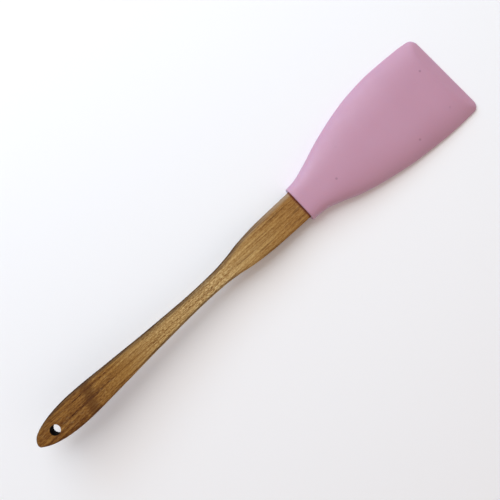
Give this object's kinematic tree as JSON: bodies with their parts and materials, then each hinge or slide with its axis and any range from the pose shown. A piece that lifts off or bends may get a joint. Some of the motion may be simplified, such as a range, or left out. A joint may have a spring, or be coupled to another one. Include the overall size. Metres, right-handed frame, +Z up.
{
  "type": "offset spatula",
  "caption": "Baker's turner with a wide silicone blade that lies flat, and a waisted bamboo handle that rises from it to a drilled hanging hole.",
  "frame": {"origin": "middle of the bounding box, on the surface that the head's flat underside lies on", "axes": "+X along the length from the handle's tail to the head's front edge, +Y across the width, +Z up out of the surface"},
  "size_m": [0.3204, 0.0602, 0.0268],
  "materials": {
    "bamboo": "oiled bamboo with long fibres, darker towards the tail",
    "silicone": "soft satin silicone",
    "nylon": "moulded glass-filled nylon",
    "adhesive": "cured epoxy"
  },
  "bodies": {
    "root": {"bamboo_handle": "bamboo", "silicone_head": "silicone", "stiffening_core": "nylon", "tang_adhesive": "adhesive"}
  },
  "joints": []
}
